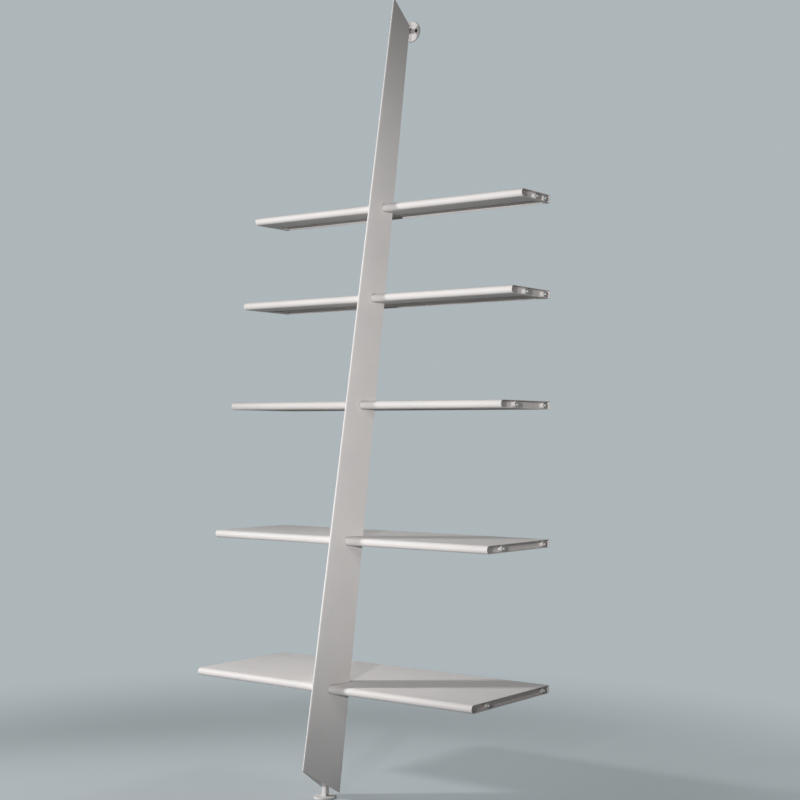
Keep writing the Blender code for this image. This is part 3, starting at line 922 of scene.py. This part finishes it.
low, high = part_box("foot_disc")
outline = disc_outline((high.x - low.x) / 2, high.z - low.z)
disc = turned_piece("foot_disc_turned", outline, Vector((0, 0, low.z)), UPWARD, DISC_STEPS, foot_coat_painted_light)
stands_for(disc, "foot", "foot_paint", "foot_disc")
bar_low, bar_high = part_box("foot_stem")
bar_low.z = high.z
bar = square_bar("foot_square_bar", bar_low, bar_high, foot_coat_painted_light)
stands_for(bar, "foot", "foot_paint", "foot_stem")
print(disc.name, bar.name, round(bar_high.z, 3), "m high")

# %% [markdown]
# The wall disc has two countersunk holes for its screws, cut with a turned cutter, and each hole
# holds a blackened screw with a cross recess. The recess is two crossed slots, cut one after the
# other.

# %% Make the wall fixing
SCREW_SPACING = 0.043
HOLE_RADIUS = 0.0028
HEAD_RADIUS = 0.0053
SCREW_STEPS = 48
HEAD_GAP = 0.0001
RECESS_WIDTH = 0.0011
RECESS_SPAN = 0.0050
RECESS_DEPTH = 0.0016
OUT_OF_WALL = Vector((0, -1, 0))

low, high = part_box("wall_disc")
thickness = high.y - low.y
centre = Vector((0, high.y, (low.z + high.z) / 2))
outline = disc_outline((high.x - low.x) / 2, thickness)
disc = turned_piece("wall_disc_turned", outline, centre, OUT_OF_WALL, DISC_STEPS, foot_coat_painted_light)
sink = thickness - (HEAD_RADIUS - HOLE_RADIUS)
hole = [(0, -thickness), (HOLE_RADIUS, -thickness), (HOLE_RADIUS, sink)]
hole += [(HEAD_RADIUS, thickness), (HEAD_RADIUS, 2 * thickness), (0, 2 * thickness)]
spots = {side: centre + outward * SCREW_SPACING / 2 for side, outward in SIDES.items()}
bm = bmesh.new()
for spot in spots.values():
    lathe(bm, hole, spot, OUT_OF_WALL, SCREW_STEPS)
cut_away(disc, make_object("screw_hole_cutter", bm))
stands_for(disc, "unit", "foot_paint", "wall_disc")

for side, spot in spots.items():
    shank = HOLE_RADIUS - HEAD_GAP
    head = HEAD_RADIUS - HEAD_GAP
    outline = [(0, HEAD_GAP), (shank, HEAD_GAP), (shank, sink)]
    outline += [(head, thickness - HEAD_GAP), (0, thickness)]
    screw = turned_piece(f"wall_screw_{side}", outline, spot, OUT_OF_WALL, SCREW_STEPS, black_steel)
    for across in ((RECESS_SPAN, RECESS_WIDTH), (RECESS_WIDTH, RECESS_SPAN)):
        bm = bmesh.new()
        bmesh.ops.create_cube(bm, size=1.0)
        bmesh.ops.scale(bm, vec=(across[0], 2 * RECESS_DEPTH, across[1]), verts=bm.verts)
        bmesh.ops.translate(bm, vec=spot + OUT_OF_WALL * thickness, verts=bm.verts)
        cut_away(screw, make_object("recess_cutter", bm))
    stands_for(screw, "unit", "screw_steel")
    print(screw.name, len(screw.data.polygons), "faces after the recess")

bar_low, bar_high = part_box("wall_stem")
bar_low.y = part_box("wall_block")[1].y
bar_high.y = low.y
bar = square_bar("wall_square_bar", bar_low, bar_high, foot_coat_painted_light)
stands_for(bar, "unit", "foot_paint", "wall_stem")
print(disc.name, bar.name, "and two screws")

# %% [markdown]
# ## Pieces that stay as they are
#
# The saddles under the shelves, the foot's socket and bracket, the wall block and the set screw
# already have their true shape in the frame. They keep their meshes and only get a finish: the same
# powder coat in a darker grey, painted shade for pieces under the shelves and inside the blade's V,
# and blackened steel on the screw.

# %% Finish the carried-over nodes
finishes = {f"shelf_{number}_saddle": shaded_inner_coat for number in SHELF_NUMBERS}
finishes |= {"foot_socket": shaded_inner_coat, "foot_bracket": shaded_inner_coat, "wall_block": shaded_inner_coat}
finishes["foot_set_screw"] = black_steel
for node, material in finishes.items():
    nodes[node].data.materials.clear()
    nodes[node].data.materials.append(material)
print(len(finishes), "nodes carried over")
